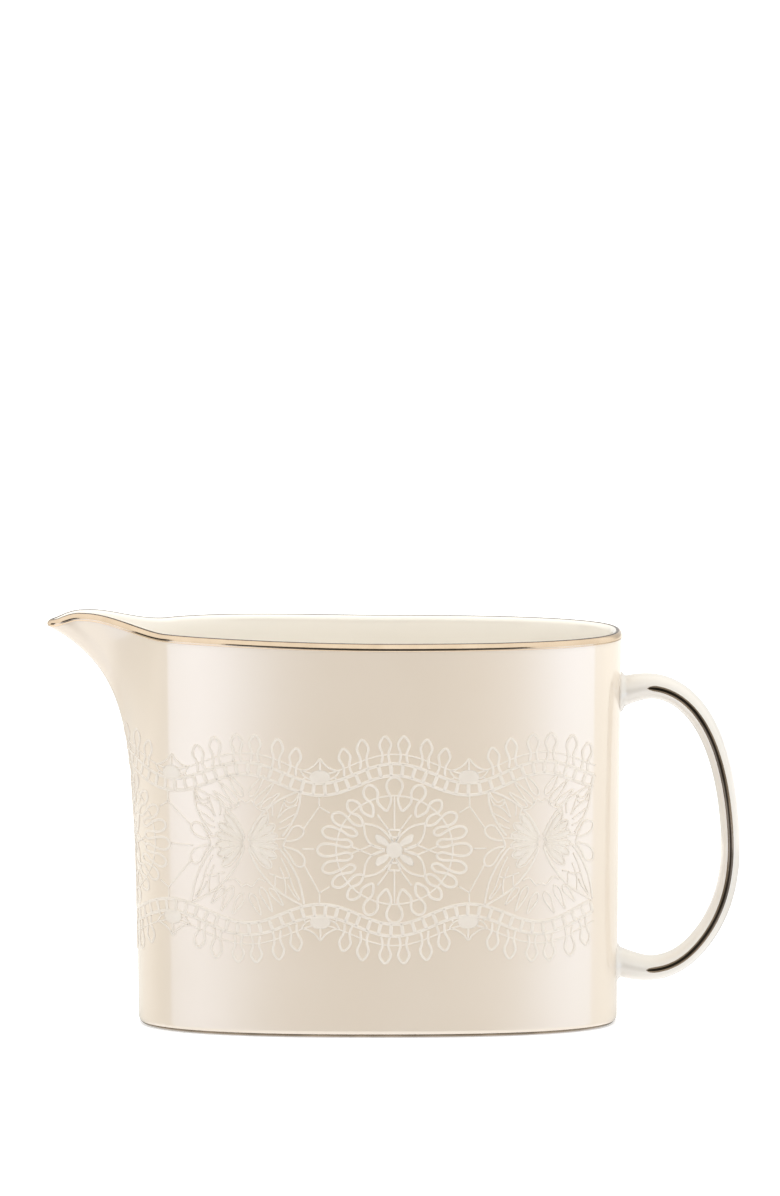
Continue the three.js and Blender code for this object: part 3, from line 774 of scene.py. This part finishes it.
def draw_medallion(lace):
    loops = medallion_loops()
    serpentine = []
    for i, (angle, tip, half) in enumerate(loops):
        before = loops[i - 1][0] - (360 if i == 0 else 0)
        between = (before + angle) / 2
        reach = INNER_TURN_AT_SIDES if 70 < angle % 180 < 110 else INNER_TURN
        turn_back = [(reach + 0.9, -0.85), (reach, 0), (reach + 0.9, 0.85)]
        side = [(LOOP_FOOT, 0.8), (tip - 2.6, half), (tip - 0.8, half * 0.8)]
        serpentine += [polar(between, radius, aside) for radius, aside in turn_back]
        serpentine += [polar(angle, radius, -aside) for radius, aside in side]
        serpentine.append(polar(angle, tip))
        serpentine += [polar(angle, radius, aside) for radius, aside in reversed(side)]
    lace.curve(serpentine, closed=True, width=SERPENTINE)
    ring = [polar(a, RING_RADIUS - 0.4 * math.cos(math.radians(2 * a))) for a in range(0, 360, 15)]
    lace.curve(ring, closed=True, width=THIN, height=0.16)
    petal_top = [(-0.3, 2.0), (-1.9, 4.0), (-4.0, 5.6), (-7.3, 6.4)]
    petal_side = [(-7.3, 6.4), (-7.0, 3.9), (-5.9, 1.7), (-3.9, 0.5), (-2.2, 0.2)]
    leaf = [(-1.0, 0.8), (-2.6, 1.2), (-4.3, 2.2), (-4.4, 3.8), (-3.0, 3.4), (-1.6, 2.2)]
    for line in four_ways(petal_top) + four_ways(petal_side):
        lace.curve(line)
    for line in four_ways(leaf):
        lace.pad(spline(line, 0.4, closed=True))
    lace.pad(spline([polar(a, 2.0) for a in range(0, 360, 30)], 0.5, closed=True), height=0.16)
    for up in (1, -1):
        keystone = [(-1.5, 4.9), (1.5, 4.9), (0.75, 3.1), (-0.75, 3.1)]
        for i in range(4):
            a, b = keystone[i - 1], keystone[i]
            lace.straight((a[0], a[1] * up), (b[0], b[1] * up))
        lace.straight((0, 4.9 * up), (0, 13.0 * up), width=THIN)
        for side in (1, -1):
            lace.straight((1.4 * side, 4.9 * up), (4.1 * side, 8.6 * up), width=THIN)
            lace.straight((0.4 * side, 2.2 * up), (0.9 * side, 3.2 * up))
    for side in (1, -1):
        lace.curve([(5.2 * side, 1.3), (8.0 * side, 0.1), (10.4 * side, -0.9)], width=THIN)
        lace.curve([(5.2 * side, -1.3), (8.0 * side, -0.1), (10.4 * side, 0.9)], width=THIN)
        lace.straight((3.0 * side, 0.5), (5.4 * side, 1.3), width=THIN)
        lace.straight((3.0 * side, -0.5), (5.4 * side, -1.3), width=THIN)


def draw_ties(lace, reach):
    """Fine threads that tie the medallion to the borders and to the butterflies, reach away."""
    fine = dict(width=HAIR, height=0.14)
    for up in (1, -1):
        for side in (1, -1):
            knot = (17.9 * side, 10.4 * up)
            lace.straight((17.9 * side, 13.0 * up), knot, **fine)
            lace.straight(knot, (15.4 * side, 8.9 * up), **fine)
            lace.straight(knot, ((reach - 13.6) * side, 4.0 * up + 0.8), **fine)
    for side in (1, -1):
        lace.straight((18.9 * side, 0.2), ((reach - 13.4) * side, 0.2), **fine)


# The leaves at the butterfly's heart, each side: degrees above the level, and length.
HEART_LEAVES = [(53, 8.6), (34, 8.3), (15, 7.8), (-5, 7.6), (-24, 7.9), (-44, 8.3)]
# The fans between the wings, one side: tip, root and half width of each loop.
FANS = [
    ((0.9, 11.4), (4.4, 16.6), 0.85), ((1.9, 9.2), (6.6, 14.6), 0.8), ((3.6, 8.6), (8.0, 12.2), 0.7),
    ((0.9, -12.2), (3.4, -17.2), 0.85), ((3.4, -10.6), (6.2, -16.4), 0.8),
    ((5.6, -10.8), (8.8, -14.8), 0.7),
]


def draw_butterfly(lace):
    wing_inner = [(0.5, 1.6), (1.4, 3.6), (3.1, 6.3), (4.6, 8.0), (7.3, 10.2), (9.8, 11.6), (12.9, 12.9)]
    wing_outer = [(13.0, 12.7), (12.9, 10.6), (12.3, 8.0), (11.2, 5.6), (9.8, 3.4), (8.6, 1.8)]
    lower_outer = [(8.1, -1.2), (9.8, -3.5), (11.4, -6.3), (12.6, -9.0), (13.3, -11.6), (13.8, -14.5)]
    lower_inner = [(0.6, -1.2), (1.6, -3.8), (3.1, -6.4), (4.9, -8.7), (8.2, -11.8), (11.2, -13.6),
                   (13.6, -14.9)]
    for line in (wing_inner, wing_outer, lower_outer, lower_inner):
        for side in both_sides(line):
            lace.curve(side)
    for degrees, reach in HEART_LEAVES:
        leaf = [polar(90 - degrees, reach), polar(90 - degrees, 0.9)]
        for tip, root in both_sides(leaf):
            lace.curve(leaf_loop(tip, root, 1.15), closed=True, width=HAIR, height=0.16)
            lace.pad(spline(leaf_loop(tip, root, 0.75), 0.5, closed=True), height=0.08)
    veins = [
        [(6.4, 9.6), (6.3, 8.2), (6.4, 6.6)], [(5.0, 8.1), (5.3, 7.2), (5.4, 6.4)],
        [(7.6, 6.2), (8.2, 7.8), (9.2, 10.4)], [(9.2, 10.8), (9.6, 9.2), (11.2, 9.2), (12.6, 11.6)],
        [(7.9, 6.5), (9.4, 8.2), (12.2, 9.4)], [(8.0, 5.0), (9.8, 6.2), (12.0, 7.4)],
        [(7.8, 3.6), (9.2, 4.0), (10.6, 5.0)], [(9.4, 10.6), (10.4, 10.0), (12.8, 12.4)],
        [(6.9, -7.4), (6.9, -9.0), (6.8, -10.6)], [(8.0, -5.6), (8.8, -7.4), (9.3, -9.2), (9.3, -12.4)],
        [(8.3, -3.2), (10.0, -6.8), (11.2, -10.4), (12.8, -13.4)],
        [(9.8, -9.6), (10.8, -11.4), (12.6, -13.6)],
        [(5.4, -7.2), (6.8, -7.6), (8.4, -8.2), (10.6, -8.0)], [(4.2, 0.4), (6.8, 1.1), (9.5, 1.3)],
        [(4.2, -0.6), (6.6, -1.0), (8.4, -1.3)],
    ]
    for vein in veins:
        for line in both_sides(vein):
            lace.curve(line, width=FINE)
    side_loops = [
        [(9.4, 0.9), (10.2, 2.6), (11.4, 4.2), (12.9, 4.4), (13.8, 3.3), (13.3, 2.0), (11.6, 1.0)],
        [(9.0, -0.9), (11.2, -1.2), (12.9, -2.1), (14.0, -3.9), (13.5, -5.3), (12.2, -5.3), (11.1, -4.1),
         (10.0, -2.2)],
    ]
    for loop in side_loops:
        for line in both_sides(loop):
            lace.curve(line, closed=True, width=SLIM)
    for side in (1, -1):
        lace.curve([(9.4 * side, 0.9), (9.0 * side, 0.0), (9.0 * side, -0.9)])
    for fan_tip, fan_root, half in FANS:
        for tip, root in both_sides([fan_tip, fan_root]):
            lace.curve(leaf_loop(tip, root, half), closed=True, width=THIN)
    lower_tie = [(-4.6, -9.2), (-3.0, -8.6), (-2.0, -9.6), (-1.0, -10.4)]
    upper_tie = [(-4.6, 8.0), (-2.6, 8.6), (-1.0, 10.4)]
    for half_tie, middle in ((lower_tie, (0, -9.9)), (upper_tie, (0, 9.8))):
        other_half = [(-u, z) for u, z in reversed(half_tie)]
        lace.curve([*half_tie, middle, *other_half], width=FINE)


# One side of a leaf: share of its length from the tip, and share of its half width.
LEAF_SIDE = [(0.12, 0.75), (0.35, 1), (0.7, 0.6)]


def leaf_loop(tip, root, half):
    """A narrow loop with a round end at the tip and a pointed one at the root."""
    tip, root = np.array(tip, float), np.array(root, float)
    along = root - tip
    side = np.array([along[1], -along[0]]) / np.linalg.norm(along)
    right = [tip + along * t + side * half * w for t, w in LEAF_SIDE]
    left = [tip + along * t - side * half * w for t, w in reversed(LEAF_SIDE)]
    return [tip, *right, root, *left]


RIGHT_CENTRES = [BUTTERFLY_LEFT, SIDE_MEDALLION, BUTTERFLY_RIGHT]
CENTRES = [*[-centre for centre in reversed(RIGHT_CENTRES)], 0.0, *RIGHT_CENTRES]
TROUGHS = [(a + b) / 2 for a, b in zip(CENTRES, CENTRES[1:])]
RAIL_OFF = 1.43                   # from the border's middle to each of its two rails
RUNG_SPACING = 2.72
SCALLOP_OFF = 3.7                 # the fine thread that crosses the picots beside each crest
SCALLOP_HALF = 13.4
# Picots at a crest: how far aside of it, and the height of the tip.
PICOTS = [(2.2, 27.4), (7.6, 26.6), (12.0, 24.4)]
PICOT_ROOT_OFF = 1.7
PICOT_ROOT_SPREAD = 0.86          # picots fan out: their roots stand closer than stated
PICOT_TIP_SPREAD = 1.02
# Half of a picot's outline: share of its length from the root, and half width.
PICOT_HALF = [(0.0, 1.05), (0.2, 0.74), (0.42, 0.82), (0.68, 1.36), (0.86, 0.95), (1.0, 0.0)]


def wave(station):
    """Height of the border's middle above the frieze's centre line."""
    after_last = TROUGHS[-1] + LACE_PERIOD
    knots = [-after_last, *[v for pair in zip(CENTRES, TROUGHS) for v in pair], CENTRES[-1], after_last]
    phase = np.interp(station, knots, [math.pi * (i - 1) for i in range(len(knots))])
    return BORDER_TROUGH + (BORDER_CREST - BORDER_TROUGH) * (0.5 + 0.5 * np.cos(phase))


def border_line(first, last, off, step=0.5):
    """Part of a line that runs beside the border's middle, a distance above it."""
    u = np.arange(first, last, step)
    middle = np.stack([u, wave(u)], 1)
    along = np.gradient(middle, axis=0)
    along /= np.linalg.norm(along, axis=1, keepdims=True)
    return middle + np.stack([-along[:, 1], along[:, 0]], 1) * off


def at_border(station, off):
    """One point of such a line."""
    near = border_line(station - 0.5, station + 0.6, off, 0.25)
    return near[2]


def draw_border(lace):
    """The upper ladder border: rails, rungs, picots at the crests and buds at the troughs."""
    for off in (-RAIL_OFF, RAIL_OFF):
        lace.thread(border_line(-FRIEZE_END, FRIEZE_END, off), width=RAIL)
    middle = border_line(-FRIEZE_END, FRIEZE_END, 0.0, 0.1)
    run = lengths(middle)
    count = int(run[-1] / RUNG_SPACING)
    for k in range(count + 1):
        i = np.searchsorted(run, k * run[-1] / count)
        station = middle[min(i, len(middle) - 1), 0]
        lace.straight(at_border(station, -RAIL_OFF), at_border(station, RAIL_OFF), width=RUNG)
    for centre in CENTRES:
        first = max(centre - SCALLOP_HALF, -FRIEZE_END)
        last = min(centre + SCALLOP_HALF, FRIEZE_END)
        lace.thread(border_line(first, last, SCALLOP_OFF), width=HAIR, height=0.15)
        for aside, tip in PICOTS:
            for side in (1, -1):
                if abs(centre + aside * side) < FRIEZE_END:
                    draw_picot(lace, centre, aside * side, tip)
    for trough in TROUGHS:
        draw_bud(lace, trough)


def draw_picot(lace, centre, aside, tip):
    root = at_border(centre + aside * PICOT_ROOT_SPREAD, PICOT_ROOT_OFF)
    top = np.array([centre + aside * PICOT_TIP_SPREAD, tip])
    along = top - root
    side = np.array([along[1], -along[0]]) / np.linalg.norm(along)
    left = [root + along * t - side * w for t, w in PICOT_HALF]
    right = [root + along * t + side * w for t, w in PICOT_HALF[:-1]]
    lace.curve(left + right[::-1], width=LOOP)


def draw_bud(lace, trough):
    def placed(*points):
        return [(trough + u, z) for u, z in points]

    fill = placed((-2.2, 16.4), (-2.5, 17.6), (-1.7, 18.8), (0, 19.2), (1.7, 18.8), (2.5, 17.6),
                  (2.2, 16.4), (0, 16.0))
    lace.pad(spline(fill, 0.45, closed=True), height=0.14)
    crown = placed((-4.7, 19.0), (-3.2, 19.3), (-1.6, 20.2), (-0.6, 21.2), (0, 21.9), (0.6, 21.2),
                   (1.6, 20.2), (3.2, 19.3), (4.7, 19.0))
    lace.curve(crown, width=SLIM)
    lace.straight(*placed((0, 19.0), (0, 21.6)), width=STEM)
    for side in (1, -1):
        lace.curve(placed((2.0 * side, 18.4), (3.0 * side, 18.7), (4.2 * side, 19.1)), width=THIN)
        lace.curve(placed((2.3 * side, 17.0), (3.4 * side, 17.5), (4.5 * side, 18.9)), width=THIN)
        lace.straight(*placed((3.5 * side, 17.4), (4.4 * side, 16.6)), width=THIN)


def lay_medallion(name, station, reach, node, mirror=False):
    lace = Lace(station)
    draw_medallion(lace)
    draw_ties(lace, reach)
    lace.lay(name, node, mirror)


def build_lace():
    lay_medallion("lace_rosette_spout", 0.0, BUTTERFLY_LEFT, "lace_medallion_spout")
    for where, mirror in (("front", False), ("back", True)):
        name = "lace_rosette_" + where
        lay_medallion(name, SIDE_MEDALLION, LACE_PERIOD, "lace_medallion_" + where, mirror)
    wings = [("front_left", BUTTERFLY_LEFT, False), ("front_right", BUTTERFLY_RIGHT, False),
             ("back_left", BUTTERFLY_RIGHT, True), ("back_right", BUTTERFLY_LEFT, True)]
    for where, station, mirror in wings:
        lace = Lace(station, LACE_MID_Z + BUTTERFLY_RAISE)
        draw_butterfly(lace)
        lace.lay("lace_wings_" + where, "lace_butterfly_" + where, mirror)
    for where in ("top", "bottom"):
        lace = Lace(0.0)
        draw_border(lace)
        if where == "bottom":
            lace.turn_over()
        lace.lay("lace_ladder_" + where, "lace_border_" + where)


# ---- stage, light and camera

FLOOR_HALF = 12.0
FLOOR_GREY = 0.9
FLOOR_GLOW = 0.45


def build_floor():
    """A pale paper that the jug stands on, kept out of its reflections."""
    mesh = bpy.data.meshes.new("floor")
    corners = [(x * FLOOR_HALF, y * FLOOR_HALF, 0) for x, y in ((-1, -1), (1, -1), (1, 1), (-1, 1))]
    mesh.from_pydata(corners, [], [(0, 1, 2, 3)])
    floor = bpy.data.objects.new("floor", mesh)
    bpy.context.scene.collection.objects.link(floor)
    s = Surface("floor_paper", Roughness=0.9, Specular_IOR_Level=0.1)
    s.shader.inputs["Base Color"].default_value = (FLOOR_GREY, FLOOR_GREY, FLOOR_GREY, 1)
    s.shader.inputs["Emission Color"].default_value = (1, 1, 1, 1)
    s.shader.inputs["Emission Strength"].default_value = FLOOR_GLOW
    mesh.materials.append(s.material)
    floor.visible_glossy = False
    floor.visible_diffuse = False


# Light round the studio near eye level, by compass angle from the camera, positive towards the handle.
STUDIO = [
    (-180, (1.30, 1.27, 1.20)), (-136, (1.62, 1.60, 1.50)), (-105, (1.65, 1.62, 1.52)),
    (-86, (1.35, 1.32, 1.20)), (-69, (1.05, 1.02, 0.92)), (-66, (2.05, 2.30, 2.75)),
    (-42, (2.40, 2.65, 3.20)), (-30, (2.05, 2.28, 2.75)), (-20, (1.25, 1.38, 1.62)),
    (-12, (0.56, 0.58, 0.66)), (-5, (0.13, 0.13, 0.12)), (5, (0.10, 0.10, 0.09)),
    (14, (0.46, 0.43, 0.40)), (24, (0.92, 0.96, 1.05)), (33, (1.50, 1.68, 2.00)),
    (44, (2.05, 2.35, 2.90)), (55, (2.25, 2.60, 3.20)), (76, (2.20, 2.55, 3.10)),
    (78, (1.55, 1.56, 1.50)), (100, (1.70, 1.70, 1.60)), (130, (1.50, 1.47, 1.40)),
    (180, (1.30, 1.27, 1.20)),
]
# Light from above and below eye level, by the sine of its height.
SKY = [
    (-1.0, (1.61, 1.59, 1.55)), (-0.55, (1.61, 1.59, 1.55)), (-0.10, (1.31, 1.30, 1.27)),
    (0.30, (1.30, 1.30, 1.27)), (0.58, (1.37, 1.37, 1.34)), (1.0, (1.37, 1.37, 1.34)),
]
# Where the light round the studio takes over from it, by the sine of its height.
EYE_LEVEL = [(-0.60, 0.0), (-0.42, 1.0), (-0.13, 1.0), (-0.10, 0.0)]
# The light at eye level fades towards its lower edge.
LOWER_FADE = [(-0.187, 0.55), (-0.165, 1.0)]
# Black flags at eye level: where round the studio, and by the sine of their height.
FLAGS_ROUND = [
    (-97, 0.0), (-92, 0.95), (-66, 0.95), (-60, 0.0), (-31, 0.0), (-27, 0.95), (27, 0.95), (31, 0.0),
]
FLAGS_HEIGHT = [(-0.13, 0.0), (-0.10, 1.0), (0.26, 1.0), (0.32, 0.0)]
# The dim far end of the room: by how far behind the jug, and by the sine of its height.
BEHIND_DEPTH = [(0.45, 0.0), (0.70, 0.35)]
BEHIND_HEIGHT = [(-0.04, 0.0), (0.04, 1.0)]
BRIGHTEST = 3.3                   # colour ramps stop at 1, so light is divided by this on its way through


def build_world():
    """Soft studio light for reflections and shading, on plain white paper behind the jug."""
    world = bpy.data.worlds.new("studio")
    bpy.context.scene.world = world
    world.use_nodes = True
    nodes, links = world.node_tree.nodes, world.node_tree.links

    def node(kind, inputs=(), **settings):
        made = nodes.new("ShaderNode" + kind)
        for key, value in settings.items():
            setattr(made, key, value)
        for index, value in enumerate(inputs):
            if isinstance(value, bpy.types.NodeSocket):
                links.new(value, made.inputs[index])
            elif value is not None:
                made.inputs[index].default_value = value
        return made

    def ramp(fac, stops, span, scale=1.0):
        made = node("ValToRGB", [fac])
        elements = made.color_ramp.elements
        for i, (at, value) in enumerate(stops):
            rgb = value if isinstance(value, tuple) else (value,) * 3
            stop = elements[i] if i < 2 else elements.new(1.0)
            stop.position = (at + span) / (2 * span)
            stop.color = (*[v / scale for v in rgb], 1)
        return made.outputs["Color"]

    direction = node("SeparateXYZ", [node("TexCoord").outputs["Generated"]]).outputs
    toward = node("Math", [direction["Y"], -1.0], operation="MULTIPLY").outputs[0]
    compass = node("Math", [direction["X"], toward], operation="ARCTAN2").outputs[0]
    turn = node("Math", [compass, 1 / (2 * math.pi), 0.5], operation="MULTIPLY_ADD").outputs[0]
    height = node("Math", [direction["Z"], 0.5, 0.5], operation="MULTIPLY_ADD").outputs[0]
    depth = node("Math", [direction["Y"], 0.5, 0.5], operation="MULTIPLY_ADD").outputs[0]

    def mix(factor, a, b, blend="MIX"):
        made = node("Mix", [factor], data_type="RGBA", blend_type=blend)
        for socket, value in ((made.inputs[6], a), (made.inputs[7], b)):
            if isinstance(value, bpy.types.NodeSocket):
                links.new(value, socket)
            else:
                socket.default_value = value
        return made.outputs[2]

    def both(a, b):
        return node("Math", [a, b], operation="MULTIPLY").outputs[0]

    black = (0, 0, 0, 1)
    around = mix(1.0, ramp(turn, STUDIO, 180, BRIGHTEST), ramp(height, LOWER_FADE, 1.0), "MULTIPLY")
    light = mix(ramp(height, EYE_LEVEL, 1.0), ramp(height, SKY, 1.0, BRIGHTEST), around)
    light = mix(both(ramp(turn, FLAGS_ROUND, 180), ramp(height, FLAGS_HEIGHT, 1.0)), light, black)
    light = mix(both(ramp(depth, BEHIND_DEPTH, 1.0), ramp(height, BEHIND_HEIGHT, 1.0)), light, black)
    studio = nodes["Background"]
    links.new(light, studio.inputs["Color"])
    studio.inputs["Strength"].default_value = BRIGHTEST
    paper = node("Background", [(1, 1, 1, 1), 1.0])
    seen = node("LightPath").outputs["Is Camera Ray"]
    either = node("MixShader", [seen, studio.outputs[0], paper.outputs[0]])
    links.new(either.outputs[0], nodes["World Output"].inputs["Surface"])


CAMERA_DISTANCE = 3.5
CAMERA_LENS = 440.5
CAMERA_SENSOR = 36.0
CAMERA_PITCH = 8.53
CAMERA_CLIP = (0.1, 50.0)
AIM_RIGHT = 2.95                  # the view's centre lies this far to the handle side of the body's middle
AIM_UP = 7.68                     # and this far above the level rim


def build_camera():
    """A long lens, square on to the side and looking a little down."""
    data = bpy.data.cameras.new("camera")
    data.lens = CAMERA_LENS
    data.sensor_width = CAMERA_SENSOR
    data.clip_start, data.clip_end = CAMERA_CLIP
    camera = bpy.data.objects.new("camera", data)
    bpy.context.scene.collection.objects.link(camera)
    pitch = math.radians(CAMERA_PITCH)
    back = Vector((0, -math.cos(pitch), math.sin(pitch)))
    aim = Vector((CENTRE_X + AIM_RIGHT, 0, RIM_HEIGHT + AIM_UP)) * MM
    camera.location = aim + back * CAMERA_DISTANCE
    camera.rotation_euler = (-back).to_track_quat("-Z", "Y").to_euler()
    bpy.context.scene.camera = camera


build_camera()
build_body()
build_rim_band()
build_foot_band()
build_handle()
build_stripe(-1, "handle_line_front", "handle_stripe_front")
build_stripe(1, "handle_line_back", "handle_stripe_back")
build_lace()
build_floor()
build_world()
bpy.context.scene.view_settings.view_transform = "Standard"
